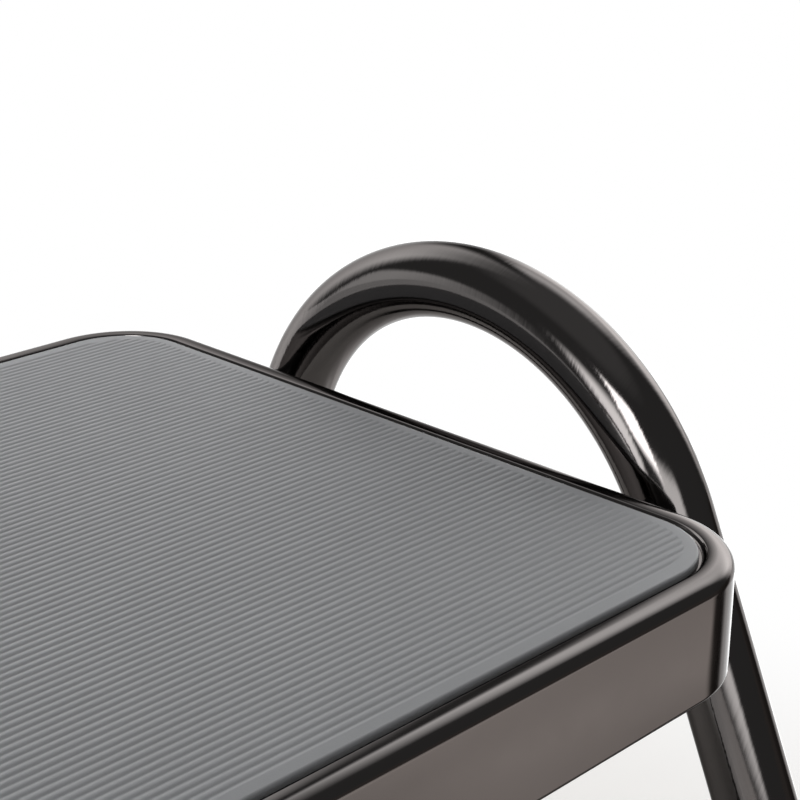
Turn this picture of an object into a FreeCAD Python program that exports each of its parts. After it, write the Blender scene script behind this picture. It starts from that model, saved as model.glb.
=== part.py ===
import FreeCAD, Part
import math
import os
import re
import Sketcher

# Step platform: a pressed deck with a ribbed rubber mat, carried by a bent tube at each end.
# Millimetres and degrees. +X runs along the deck, -Y is the front, +Z is up.
# The origin is on the floor under the middle of the deck.

SIZES = {
    # Deck pan: pressed sheet, shallow tray, rolled rim, skirt with a turned-in hem
    "deck_length": 360.0,
    "deck_width": 284.0,
    "deck_height": 229.0,
    "deck_corner": 34.0,
    "skirt_depth": 35.0,
    "sheet_gauge": 1.2,
    "rim_radius": 4.0,
    "tray_depth": 1.0,
    "tray_slope": 5.0,
    "tray_lap": 2.0,
    "hem_bend": 2.4,
    "hem_width": 9.0,
    # Tread mat: plain border, ribs along the deck
    "mat_gap": 0.6,
    "mat_thickness": 1.2,
    "mat_border": 5.4,
    "mat_edge_radius": 0.5,
    "groove_count": 92,
    "groove_depth": 0.45,
    "groove_mouth_share": 0.6,
    "groove_floor_share": 0.3,
    # Hoop tube: arch above the deck, splayed legs below
    "tube_diameter": 25.4,
    "tube_wall": 1.5,
    "hoop_inset": 57.9,
    "hoop_gap": 16.0,
    "leg_splay": 23.5,
    # Rubber feet with a steel disc under each tube end
    "foot_pad": 14.0,
    "foot_wall": 4.0,
    "foot_base": 20.0,
    "foot_tread": 13.0,
    "foot_shoulder": 20.0,
    "foot_sleeve": 44.0,
    "foot_bead": 1.0,
    "foot_bead_height": 4.0,
    "disc_thickness": 2.0,
    # Spacers between legs and skirt
    "spacer_diameter": 16.0,
    "spacer_wrap": 4.0,
    # End plates inside the end skirts
    "plate_gauge": 3.0,
    "plate_height": 24.0,
    "plate_corner": 4.0,
    # Top-hat rails under the tray
    "rail_gauge": 1.5,
    "rail_depth": 18.0,
    "rail_crown": 24.0,
    "rail_flange": 12.0,
    "rail_bend": 2.5,
    "rail_clearance": 12.7,
    # Bolts from inside the deck into dowel nuts in the tubes
    "bolt_drop": 19.0,
    "bolt_diameter": 8.0,
    "bolt_head": 15.0,
    "bolt_head_height": 4.4,
    "bolt_head_edge": 1.2,
    "bolt_head_flat": 6.0,
    "bolt_tip": 5.5,
    "socket_flats": 5.0,
    "socket_depth": 2.6,
    "washer_diameter": 20.0,
    "washer_gauge": 1.6,
    "dowel_diameter": 14.0,
    "dowel_length": 20.0,
    # Fits
    "bolt_clearance": 0.3,
    "seat_clearance": 0.1,
    "cut_overrun": 2.0,
}

# Places worked out from the sizes
PLACES = {
    "tray_reach": "rim_radius + tray_slope",
    "mat_inset": "tray_reach + mat_gap",
    "mat_length": "deck_length - 2 * mat_inset",
    "mat_width": "deck_width - 2 * mat_inset",
    "mat_corner": "deck_corner - mat_inset",
    "field_length": "mat_length - 2 * mat_border",
    "field_width": "mat_width - 2 * mat_border",
    "field_corner": "mat_corner - mat_border",
    "groove_pitch": "field_width / groove_count",
    "tray_top": "deck_height - tray_depth",
    "tray_under": "tray_top - sheet_gauge",
    "mat_top": "tray_top + mat_thickness",
    "groove_floor": "mat_top - groove_depth",
    "slope_radius": "(tray_slope ^ 2 + tray_depth ^ 2 - 2 * rim_radius * tray_depth) / (2 * tray_depth)",
    "bolt_y": "deck_width / 2 - hoop_inset",
    "bolt_z": "deck_height - bolt_drop",
    "hoop_x": "deck_length / 2 + hoop_gap + tube_diameter / 2",
    "hoop_radius": "bolt_y / cos(leg_splay)",
    "hoop_centre": "bolt_z - bolt_y * tan(leg_splay)",
    "leg_length": "bolt_z / cos(leg_splay) - foot_pad",
    "leg_end_y": "bolt_y + leg_length * sin(leg_splay)",
    "leg_end_z": "bolt_z - leg_length * cos(leg_splay)",
    "foot_y": "bolt_y + bolt_z * tan(leg_splay)",
    "seat_radius": "tube_diameter / 2 + seat_clearance",
    "bolt_hole": "bolt_diameter / 2 + bolt_clearance",
    "skirt_x": "tube_diameter / 2 + hoop_gap",
    "plate_x": "skirt_x + sheet_gauge",
    "washer_x": "plate_x + plate_gauge",
    "head_x": "washer_x + washer_gauge",
    "dowel_x": "tube_diameter / 2 - tube_wall - seat_clearance - dowel_diameter / 2",
}

doc = FreeCAD.newDocument("step_platform")
sheet = doc.addObject("Spreadsheet::Sheet", "Sizes")
for row, (alias, value) in enumerate(SIZES.items(), start=1):
    sheet.set(f"A{row}", alias)
    sheet.set(f"B{row}", str(value))
    sheet.setAlias(f"B{row}", alias)
doc.recompute()

NODES = []

# Each leg's name, its end and side of the deck, the turn of its end, and its side of the hoop
LEGS = (
    ("right_rear", "", "", 0, 1),
    ("right_front", "", "-", 0, -1),
    ("left_rear", "-", "", 180, -1),
    ("left_front", "-", "-", 180, 1),
)


def bind(text):
    """An expression in plain size names, spelled out in cells of the sheet."""

    def spell(match):
        word = match.group()
        if word in PLACES:
            return f"({bind(PLACES[word])})"
        return f"Sizes.{word}" if word in SIZES else word

    return re.sub(r"[a-z_]+", spell, text)


def number(text):
    """The present value of an expression."""
    return float(sheet.evalExpression(bind(text)))


def node(thing, label):
    """Name a finished piece, so that it is checked and written."""
    thing.Label = label
    NODES.append(thing)
    return thing


def new_body(name):
    return doc.addObject("PartDesign::Body", name)


def origin(body, role):
    return next(item for item in body.Origin.OriginFeatures if item.Role == role)


def sketch_on(body, name, role, lift="0"):
    """A sketch on one of the body's own origin planes, raised along the plane's normal."""
    sketch = body.newObject("Sketcher::SketchObject", name)
    sketch.AttachmentSupport = [(origin(body, role), "")]
    sketch.MapMode = "FlatFace"
    sketch.setExpression("AttachmentOffset.Base.z", bind(lift))
    return sketch


def drive(sketch, constraint, text):
    """Add a dimension and tie it to the sheet."""
    index = sketch.addConstraint(constraint)
    sketch.setExpression(f"Constraints[{index}]", bind(text))


def fix_point(sketch, geometry, end, place):
    """Hold one end of a line or arc, or a centre, at a place given by two expressions."""
    for kind, axis, text in (("DistanceX", -2, place[0]), ("DistanceY", -1, place[1])):
        if text == "0":
            sketch.addConstraint(Sketcher.Constraint("PointOnObject", geometry, end, axis))
        else:
            drive(sketch, Sketcher.Constraint(kind, geometry, end, number(text)), text)


def vector(place):
    return FreeCAD.Vector(number(place[0]), number(place[1]), 0)


def arc_between(first, last, radius, turn):
    """The short arc between two points: turn is 1 to the left and -1 to the right."""
    chord = last - first
    height = math.sqrt(radius ** 2 - (chord.Length / 2) ** 2)
    side = FreeCAD.Vector(-chord.y, chord.x, 0).normalize()
    centre = (first + last) / 2 + side * height * turn
    ends = (first, last) if turn > 0 else (last, first)
    angles = [math.atan2(point.y - centre.y, point.x - centre.x) for point in ends]
    circle = Part.Circle(centre, FreeCAD.Vector(0, 0, 1), radius)
    return Part.ArcOfCircle(circle, angles[0], angles[1])


def outline(sketch, places, arcs=None):
    """A closed outline through the places; arcs maps a stretch to its radius and its turn."""
    arcs = arcs or {}
    count = len(places)
    ends = []
    for index, place in enumerate(places):
        first = vector(place)
        last = vector(places[(index + 1) % count])
        if index in arcs:
            radius, turn = arcs[index]
            sketch.addGeometry(arc_between(first, last, number(radius), turn))
            ends.append((1, 2) if turn > 0 else (2, 1))
        else:
            sketch.addGeometry(Part.LineSegment(first, last))
            ends.append((1, 2))
    for index in range(count):
        after = (index + 1) % count
        joint = Sketcher.Constraint("Coincident", index, ends[index][1], after, ends[after][0])
        sketch.addConstraint(joint)
    for index, place in enumerate(places):
        fix_point(sketch, index, ends[index][0], place)
    for index, (radius, _) in arcs.items():
        drive(sketch, Sketcher.Constraint("Radius", index, number(radius)), radius)


def rounded_rectangle(sketch, length, width, corner):
    """A rectangle with round corners about the sketch's origin."""
    half_length, half_width, radius = number(length) / 2, number(width) / 2, number(corner)
    start = sketch.GeometryCount
    inner = (half_length - radius, half_width - radius)
    for quarter in range(4):
        turn = math.pi / 2 * quarter
        along = FreeCAD.Vector(math.cos(turn), math.sin(turn), 0)
        out = FreeCAD.Vector(math.sin(turn), -math.cos(turn), 0)
        run, reach = (inner[0], half_width) if quarter % 2 == 0 else (inner[1], half_length)
        sketch.addGeometry(Part.LineSegment(out * reach - along * run, out * reach + along * run))
        centre = out * (reach - radius) + along * run
        circle = Part.Circle(centre, FreeCAD.Vector(0, 0, 1), radius)
        sketch.addGeometry(Part.ArcOfCircle(circle, turn - math.pi / 2, turn))
    for index in range(8):
        pair = (start + index, 2, start + (index + 1) % 8, 1)
        sketch.addConstraint(Sketcher.Constraint("Tangent", *pair))
    for quarter in range(4):
        kind = "Horizontal" if quarter % 2 == 0 else "Vertical"
        sketch.addConstraint(Sketcher.Constraint(kind, start + 2 * quarter))
    for quarter in range(1, 4):
        sketch.addConstraint(Sketcher.Constraint("Equal", start + 1, start + 2 * quarter + 1))
    sketch.addConstraint(Sketcher.Constraint("Symmetric", start + 1, 3, start + 5, 3, -1, 1))
    drive(sketch, Sketcher.Constraint("Radius", start + 1, radius), corner)
    across = Sketcher.Constraint("DistanceX", start + 6, 1, start + 2, 1, 2 * half_length)
    drive(sketch, across, length)
    upward = Sketcher.Constraint("DistanceY", start, 1, start + 4, 1, 2 * half_width)
    drive(sketch, upward, width)


def circle_at(sketch, place, radius):
    """A circle at a place, both tied to the sheet."""
    centre = vector(place)
    shape = Part.Circle(centre, FreeCAD.Vector(0, 0, 1), number(radius))
    index = sketch.addGeometry(shape)
    fix_point(sketch, index, 3, place)
    drive(sketch, Sketcher.Constraint("Radius", index, number(radius)), radius)


def hexagon(sketch, flats):
    """A hexagon about the sketch's origin, two of its corners on the first axis."""
    corner = f"{flats} / sqrt(3)"
    half = f"{corner} / 2"
    places = [(corner, "0"), (half, f"{flats} / 2"), (f"-{half}", f"{flats} / 2")]
    places += [(f"-{corner}", "0"), (f"-{half}", f"-{flats} / 2"), (half, f"-{flats} / 2")]
    outline(sketch, places)


def pad(body, sketch, length, symmetric=False, back=False):
    feature = body.newObject("PartDesign::Pad", "Pad")
    feature.Profile = sketch
    feature.SideType = "Symmetric" if symmetric else "One side"
    feature.Reversed = back
    feature.setExpression("Length", bind(length))
    return feature


def pocket(body, sketch, depth=None, symmetric=False):
    """A cut to a depth, or right through the body both ways."""
    feature = body.newObject("PartDesign::Pocket", "Pocket")
    feature.Profile = sketch
    feature.SideType = "Symmetric" if symmetric or depth is None else "One side"
    if depth is None:
        feature.Type = "ThroughAll"
    else:
        feature.setExpression("Length", bind(depth))
    return feature


def revolve(body, sketch, axis):
    feature = body.newObject("PartDesign::Revolution", "Revolution")
    feature.Profile = sketch
    feature.ReferenceAxis = (origin(body, axis), [""])
    return feature


def sweep(body, kind, profile, path):
    """A pipe, added or subtracted, along every edge of the path sketch."""
    feature = body.newObject(f"PartDesign::{kind}", kind)
    feature.Profile = profile
    feature.Spine = (path, [f"Edge{index + 1}" for index in range(path.GeometryCount)])
    return feature


def round_edges(body, radius, chosen):
    """Fillet the edges of the body's last feature that the test picks out."""
    doc.recompute()
    base = body.Tip
    names = [f"Edge{i + 1}" for i, edge in enumerate(base.Shape.Edges) if chosen(edge)]
    if not names:
        raise ValueError(f"no edge to round on {body.Name}")
    feature = body.newObject("PartDesign::Fillet", "Fillet")
    feature.Base = (base, names)
    feature.setExpression("Radius", bind(radius))
    return feature


def on_level(edge, level):
    """Whether an edge lies flat at a height, to within the kernel's own tolerance."""
    return all(math.isclose(vertex.Z, number(level)) for vertex in edge.Vertexes)


def place_at(body, place, yaw=0, roll="0"):
    """Put a body at a place, turned about Z, and first rolled about X."""
    spot = "; ".join(bind(text) for text in place)
    body.setExpression("Placement", f"placement(vector({spot}); rotation({yaw}; 0; {bind(roll)}))")


def rim_section(sketch):
    """Section of the sheet from the tray, up the slope, over the rim and down the skirt to the hem."""

    def at(inward, drop):
        return (f"deck_length / 2 - ({inward})", f"deck_height - ({drop})")

    def on_slope(radius):
        share = f"({radius}) / (rim_radius + slope_radius)"
        rise = "(tray_depth - slope_radius - rim_radius)"
        return at(f"rim_radius + tray_slope * {share}", f"rim_radius + {rise} * {share}")

    places = [
        at("tray_reach + tray_lap", "tray_depth"),
        at("tray_reach", "tray_depth"),
        on_slope("rim_radius"),
        at("0", "rim_radius"),
        at("0", "skirt_depth - hem_bend"),
        at("hem_bend", "skirt_depth"),
        at("hem_width", "skirt_depth"),
        at("hem_width", "skirt_depth - sheet_gauge"),
        at("hem_bend", "skirt_depth - sheet_gauge"),
        at("sheet_gauge", "skirt_depth - hem_bend"),
        at("sheet_gauge", "rim_radius"),
        on_slope("rim_radius - sheet_gauge"),
        at("tray_reach", "tray_depth + sheet_gauge"),
        at("tray_reach + tray_lap", "tray_depth + sheet_gauge"),
    ]
    arcs = {
        1: ("slope_radius", 1),
        2: ("rim_radius", -1),
        4: ("hem_bend", -1),
        8: ("hem_bend - sheet_gauge", 1),
        10: ("rim_radius - sheet_gauge", 1),
        11: ("slope_radius + sheet_gauge", -1),
    }
    outline(sketch, places, arcs)


def deck_pan():
    """Pressed pan: one sheet section runs round the deck, and the tray floor closes it."""
    body = new_body("DeckPan")
    path = sketch_on(body, "RimPath", "XY_Plane", "deck_height")
    rounded_rectangle(path, "deck_length", "deck_width", "deck_corner")
    section = sketch_on(body, "RimSection", "XZ_Plane")
    rim_section(section)
    sweep(body, "AdditivePipe", section, path)
    floor = sketch_on(body, "TrayFloor", "XY_Plane", "tray_under")
    inset = "(tray_reach + tray_lap / 2)"
    rounded_rectangle(
        floor,
        f"deck_length - 2 * {inset}",
        f"deck_width - 2 * {inset}",
        f"deck_corner - {inset}",
    )
    pad(body, floor, "sheet_gauge")
    holes = sketch_on(body, "BoltHoles", "YZ_Plane")
    for side in ("", "-"):
        circle_at(holes, (f"{side}bolt_y", "bolt_z"), "bolt_hole")
    pocket(body, holes)
    node(body, "deck_pan")


def tread_mat():
    """Rubber mat: grooves are cut along it, and the plain border closes their ends."""
    body = new_body("TreadMat")
    whole = sketch_on(body, "MatOutline", "XY_Plane", "tray_top")
    rounded_rectangle(whole, "mat_length", "mat_width", "mat_corner")
    pad(body, whole, "mat_thickness")
    round_edges(body, "mat_edge_radius", lambda edge: on_level(edge, "mat_top"))
    groove = sketch_on(body, "Groove", "YZ_Plane")
    first = "groove_pitch / 2 - field_width / 2"
    mouth = "groove_pitch * groove_mouth_share / 2"
    narrow = "groove_pitch * groove_floor_share / 2"
    outline(groove, [
        (f"{first} - {mouth}", "mat_top"),
        (f"{first} - {narrow}", "groove_floor"),
        (f"{first} + {narrow}", "groove_floor"),
        (f"{first} + {mouth}", "mat_top"),
    ])
    cut = pocket(body, groove, "field_length", symmetric=True)
    pattern = body.newObject("PartDesign::LinearPattern", "Grooves")
    pattern.Originals = [cut]
    pattern.Direction = (origin(body, "Y_Axis"), [""])
    pattern.setExpression("Length", bind("field_width - groove_pitch"))
    pattern.setExpression("Occurrences", bind("groove_count"))
    body.Tip = pattern
    border = sketch_on(body, "Border", "XY_Plane", "groove_floor")
    rounded_rectangle(border, "mat_length - 2 * mat_edge_radius", "mat_width - 2 * mat_edge_radius",
                      "mat_corner - mat_edge_radius")
    rounded_rectangle(border, "field_length", "field_width", "field_corner")
    pad(body, border, "groove_depth")
    node(body, "tread_mat")


def leg_path(sketch, side):
    """Line of half a hoop, from the top of the arch down one side to the end of the leg."""
    radius = number("hoop_radius")
    splay = math.radians(number("leg_splay"))
    top = math.pi / 2
    circle = Part.Circle(vector(("0", "hoop_centre")), FreeCAD.Vector(0, 0, 1), radius)
    sign = "" if side > 0 else "-"
    angles = (splay, top) if side > 0 else (top, math.pi - splay)
    arch = sketch.addGeometry(Part.ArcOfCircle(circle, *angles))
    foot = (f"{sign}leg_end_y", "leg_end_z")
    leg = sketch.addGeometry(Part.LineSegment(vector((f"{sign}bolt_y", "bolt_z")), vector(foot)))
    shoulder, crown = (1, 2) if side > 0 else (2, 1)
    fix_point(sketch, arch, 3, ("0", "hoop_centre"))
    drive(sketch, Sketcher.Constraint("Radius", arch, radius), "hoop_radius")
    sketch.addConstraint(Sketcher.Constraint("PointOnObject", arch, crown, -2))
    sketch.addConstraint(Sketcher.Constraint("Tangent", arch, shoulder, leg, 1))
    fix_point(sketch, leg, 2, foot)


def hoop(label, end, yaw):
    """Bent tube: half is drawn along its line and mirrored, then drilled on the deck's side."""
    body = new_body("Hoop")
    path = sketch_on(body, "LegPath", "YZ_Plane")
    leg_path(path, 1)
    ring = sketch_on(body, "TubeSection", "XZ_Plane")
    crown = ("0", "hoop_centre + hoop_radius")
    circle_at(ring, crown, "tube_diameter / 2")
    circle_at(ring, crown, "tube_diameter / 2 - tube_wall")
    half = sweep(body, "AdditivePipe", ring, path)
    mirror = body.newObject("PartDesign::Mirrored", "OtherHalf")
    mirror.Originals = [half]
    mirror.MirrorPlane = (origin(body, "XZ_Plane"), [""])
    body.Tip = mirror
    holes = sketch_on(body, "BoltHoles", "YZ_Plane")
    for side in ("", "-"):
        circle_at(holes, (f"{side}bolt_y", "bolt_z"), "bolt_hole")
    pocket(body, holes, "tube_diameter")
    place_at(body, (f"{end}hoop_x", "0", "0"), yaw)
    node(body, label)


def spacer(label, place, side, yaw):
    """Round block between a leg and the skirt, hollowed to the tube and drilled for the bolt."""
    body = new_body("Spacer")
    sign = "" if side > 0 else "-"
    centre = (f"{sign}bolt_y", "bolt_z")
    face = sketch_on(body, "Face", "YZ_Plane", "-skirt_x")
    circle_at(face, centre, "spacer_diameter / 2")
    pad(body, face, "hoop_gap + spacer_wrap")
    path = sketch_on(body, "LegPath", "YZ_Plane")
    leg_path(path, side)
    tube = sketch_on(body, "Seat", "XZ_Plane")
    circle_at(tube, ("0", "hoop_centre + hoop_radius"), "seat_radius")
    sweep(body, "SubtractivePipe", tube, path)
    hole = sketch_on(body, "BoltHole", "YZ_Plane")
    circle_at(hole, centre, "bolt_hole")
    pocket(body, hole)
    place_at(body, place, yaw)
    node(body, label)


def end_plate(label, end, yaw):
    """Flat bar inside an end skirt, drilled for the two bolts of its hoop."""
    body = new_body("EndPlate")
    bar = sketch_on(body, "Bar", "YZ_Plane", "-plate_x")
    rounded_rectangle(bar, "deck_width - 2 * deck_corner", "plate_height", "plate_corner")
    pad(body, bar, "plate_gauge", back=True)
    holes = sketch_on(body, "BoltHoles", "YZ_Plane")
    for side in ("", "-"):
        circle_at(holes, (f"{side}bolt_y", "0"), "bolt_hole")
    pocket(body, holes)
    place_at(body, (f"{end}hoop_x", "0", "bolt_z"), yaw)
    node(body, label)


def deck_rail(label, side):
    """Top-hat rail: flanges against the tray, crown below, from end plate to end plate."""
    body = new_body("DeckRail")
    section = sketch_on(body, "HatSection", "YZ_Plane")
    outer = "rail_crown / 2"
    inner = "rail_crown / 2 - rail_gauge"
    wing = "rail_crown / 2 + rail_flange"
    tight = "(rail_bend - rail_gauge)"
    half = [
        (f"{inner} - {tight}", "rail_gauge - rail_depth"),
        (inner, f"rail_gauge - rail_depth + {tight}"),
        (inner, "-rail_bend"),
        (f"{inner} + rail_bend", "0"),
        (wing, "0"),
        (wing, "-rail_gauge"),
        (f"{outer} + {tight}", "-rail_gauge"),
        (outer, f"-rail_gauge - {tight}"),
        (outer, "rail_bend - rail_depth"),
        (f"{outer} - rail_bend", "-rail_depth"),
    ]
    bends = {0: (tight, 1), 2: ("rail_bend", -1), 6: (tight, 1), 8: ("rail_bend", -1)}
    places = half + [(f"-({across})", level) for across, level in reversed(half)]
    last = len(places) - 2
    outline(section, places, bends | {last - index: bend for index, bend in bends.items()})
    pad(body, section, "deck_length - 2 * (sheet_gauge + plate_gauge)", symmetric=True)
    place_at(body, ("0", f"{side}(bolt_y - rail_clearance - rail_crown / 2)", "tray_under"))
    node(body, label)


def foot(label, place, yaw):
    """Rubber ferrule: a sleeve round the tube end, with a wide base cut level with the floor."""
    body = new_body("Foot")
    half = sketch_on(body, "FerruleSection", "XZ_Plane")
    drop = "-foot_base * tan(leg_splay)"
    sleeve = "(seat_radius + foot_wall)"
    bead = "(foot_bead_height ^ 2 / 4 + foot_bead ^ 2) / (2 * foot_bead)"
    outline(half, [
        ("0", drop),
        ("foot_base", drop),
        ("foot_base", "foot_tread"),
        (sleeve, "foot_shoulder"),
        (sleeve, "foot_sleeve - foot_bead_height"),
        (sleeve, "foot_sleeve"),
        ("seat_radius", "foot_sleeve"),
        ("seat_radius", "foot_pad - disc_thickness"),
        ("0", "foot_pad - disc_thickness"),
    ], {4: (bead, 1)})
    revolve(body, half, "Z_Axis")
    ground = sketch_on(body, "Floor", "YZ_Plane")
    reach = "(foot_base + cut_overrun)"
    outline(ground, [
        (f"-{reach}", f"{reach} * tan(leg_splay)"),
        (f"-{reach}", f"-{reach} * tan(leg_splay) - cut_overrun"),
        (reach, f"-{reach} * tan(leg_splay) - cut_overrun"),
        (reach, f"-{reach} * tan(leg_splay)"),
    ])
    pocket(body, ground)
    place_at(body, place, yaw, "leg_splay")
    node(body, label)


def foot_disc(place, yaw):
    body = new_body("FootDisc")
    face = sketch_on(body, "Face", "XY_Plane", "foot_pad - disc_thickness")
    circle_at(face, ("0", "0"), "tube_diameter / 2")
    pad(body, face, "disc_thickness")
    place_at(body, place, yaw, "leg_splay")
    return body


def hoop_bolt():
    """Button-head bolt along X, its head inside the deck, with a hexagon socket."""
    body = new_body("HoopBolt")
    half = sketch_on(body, "BoltSection", "XY_Plane")
    crown = "-(head_x + bolt_head_height)"
    dome = "(bolt_head / 2 - bolt_head_flat / 2)"
    rise = "(bolt_head_height - bolt_head_edge)"
    outline(half, [
        ("bolt_tip", "0"),
        ("bolt_tip", "bolt_diameter / 2"),
        ("-head_x", "bolt_diameter / 2"),
        ("-head_x", "bolt_head / 2"),
        ("-(head_x + bolt_head_edge)", "bolt_head / 2"),
        (crown, "bolt_head_flat / 2"),
        (crown, "0"),
    ], {4: (f"({dome} ^ 2 + {rise} ^ 2) / (2 * {rise})", 1)})
    revolve(body, half, "X_Axis")
    socket = sketch_on(body, "Socket", "YZ_Plane", crown)
    hexagon(socket, "socket_flats")
    pocket(body, socket, "2 * socket_depth", symmetric=True)
    return body


def plate_washer():
    body = new_body("PlateWasher")
    ring = sketch_on(body, "Ring", "YZ_Plane", "-washer_x")
    circle_at(ring, ("0", "0"), "washer_diameter / 2")
    circle_at(ring, ("0", "0"), "bolt_hole")
    pad(body, ring, "washer_gauge", back=True)
    return body


def dowel_nut(place, side, yaw):
    """Round nut that lies along the inside of a leg, tapped across for the bolt."""
    body = new_body("DowelNut")
    end = sketch_on(body, "End", "XY_Plane", "-dowel_length / 2")
    circle_at(end, ("-dowel_x", "0"), "dowel_diameter / 2")
    pad(body, end, "dowel_length")
    bore = sketch_on(body, "Bore", "YZ_Plane")
    circle_at(bore, ("0", "0"), "bolt_diameter / 2 + seat_clearance")
    pocket(body, bore)
    place_at(body, place, yaw, "leg_splay" if side > 0 else "-leg_splay")
    return body


def group(label, pieces):
    """Like pieces in one node, each its own solid."""
    compound = doc.addObject("Part::Compound", "Group")
    compound.Links = pieces
    node(compound, label)


def leg_pieces():
    """At each leg a spacer, a bolt with its washer and dowel nut, and a foot over a disc."""
    groups = {"hoop_bolts": [], "plate_washers": [], "dowel_nuts": [], "foot_discs": []}
    for name, end, side, yaw, hand in LEGS:
        hoop_place = (f"{end}hoop_x", "0", "0")
        bolt_place = (f"{end}hoop_x", f"{side}bolt_y", "bolt_z")
        foot_place = (f"{end}hoop_x", f"{side}foot_y", "0")
        foot_yaw = 180 if side else 0
        spacer(f"spacer_{name}", hoop_place, hand, yaw)
        foot(f"foot_{name}", foot_place, foot_yaw)
        groups["foot_discs"].append(foot_disc(foot_place, foot_yaw))
        groups["dowel_nuts"].append(dowel_nut(bolt_place, hand, yaw))
        for label, maker in (("hoop_bolts", hoop_bolt), ("plate_washers", plate_washer)):
            piece = maker()
            place_at(piece, bolt_place, yaw)
            groups[label].append(piece)
    for label, pieces in groups.items():
        group(label, pieces)


def check():
    """Stop unless every object is sound, every cut cuts and every piece is a valid solid."""
    faults = []
    for thing in doc.Objects:
        if {"Invalid", "Error"} & set(thing.State):
            faults.append(f"{thing.Label} {thing.State}")
        if thing.TypeId in ("PartDesign::Pocket", "PartDesign::SubtractivePipe"):
            if thing.Shape.Volume >= thing.BaseFeature.Shape.Volume:
                faults.append(f"{thing.Label} cuts nothing")
    for thing in NODES:
        shape = thing.Shape
        if shape.isNull() or not shape.isValid() or not shape.Solids:
            faults.append(f"{thing.Label} has no valid solid")
    if faults:
        raise RuntimeError("; ".join(faults))


deck_pan()
tread_mat()
for label, end, yaw in (("right", "", 0), ("left", "-", 180)):
    hoop(f"hoop_{label}", end, yaw)
    end_plate(f"end_plate_{label}", end, yaw)
for label, side in (("front", "-"), ("rear", "")):
    deck_rail(f"deck_rail_{label}", side)
leg_pieces()
doc.recompute()
check()
os.makedirs("parts", exist_ok=True)
for thing in NODES:
    thing.Shape.exportStep(f"parts/{thing.Label}.step")
    solids = len(thing.Shape.Solids)
    print(f"{thing.Label}: {solids} solid(s), {thing.Shape.Volume / 1000:.1f} cm3")
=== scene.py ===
import math
from contextlib import contextmanager

import bmesh
import bpy
from bpy.props import FloatProperty, FloatVectorProperty, IntProperty, PointerProperty
from bpy.types import Operator, Panel, PropertyGroup
from mathutils import Matrix, Vector


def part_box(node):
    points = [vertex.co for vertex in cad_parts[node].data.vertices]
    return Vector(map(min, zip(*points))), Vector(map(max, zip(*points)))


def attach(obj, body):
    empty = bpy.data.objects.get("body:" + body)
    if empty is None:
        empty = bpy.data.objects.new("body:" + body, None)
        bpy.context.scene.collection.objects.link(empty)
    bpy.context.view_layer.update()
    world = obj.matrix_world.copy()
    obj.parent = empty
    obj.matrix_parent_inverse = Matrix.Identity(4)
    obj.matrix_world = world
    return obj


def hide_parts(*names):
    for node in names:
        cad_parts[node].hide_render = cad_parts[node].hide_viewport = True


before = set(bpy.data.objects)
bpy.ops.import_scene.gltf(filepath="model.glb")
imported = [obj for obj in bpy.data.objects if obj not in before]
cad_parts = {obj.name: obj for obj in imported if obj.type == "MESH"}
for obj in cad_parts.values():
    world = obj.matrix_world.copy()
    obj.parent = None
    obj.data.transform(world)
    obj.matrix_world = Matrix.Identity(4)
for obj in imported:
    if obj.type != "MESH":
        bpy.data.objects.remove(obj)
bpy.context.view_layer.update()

bl_info = {
    "name": "Step platform with end hoops",
    "version": (1, 0, 0),
    "blender": (4, 5, 0),
    "location": "View3D > Sidebar > Step platform",
    "description": "Pressed deck, ribbed mat, bent hoops, feet and fastenings over the packed solids",
    "category": "Object",
}

MM = 0.001
DECK_LOW, DECK_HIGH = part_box("deck_pan")
MAT_LOW, MAT_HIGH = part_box("tread_mat")
HOOP_LOW, HOOP_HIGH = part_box("hoop_right")
PLATE_LOW, PLATE_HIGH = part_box("end_plate_right")
RAIL_LOW, RAIL_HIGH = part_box("deck_rail_rear")

# Each leg's name with its end of the deck (+X right) and its side (+Y rear)
LEGS = (("right_rear", 1, 1), ("right_front", 1, -1), ("left_rear", -1, 1), ("left_front", -1, -1))
HALF_TURN = Matrix.Rotation(math.pi, 4, "Z")
FACETS = 64  # round the small turned pieces


def linear(code):
    """An sRGB hex colour as linear red, green, blue and a full alpha."""
    parts = [int(code[start:start + 2], 16) / 255 for start in (1, 3, 5)]
    bright = [part / 12.92 if part <= 0.04045 else ((part + 0.055) / 1.055) ** 2.4 for part in parts]
    return (*bright, 1.0)


def length(name, description, default):
    """A length property, in metres."""
    return FloatProperty(name=name, description=description, default=default, min=0.0,
                         subtype="DISTANCE", unit="LENGTH", precision=4)


def angle(name, description, degrees):
    """An angle property, given in degrees."""
    return FloatProperty(name=name, description=description, default=math.radians(degrees),
                         subtype="ANGLE", unit="ROTATION")


def amount(name, description, default):
    """A property that is a plain number from nought up."""
    return FloatProperty(name=name, description=description, default=default, min=0.0)


def colour(name, description, code):
    """A colour property, given as an sRGB hex colour."""
    return FloatVectorProperty(name=name, description=description, default=linear(code),
                               size=4, min=0.0, max=1.0, subtype="COLOR")


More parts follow.
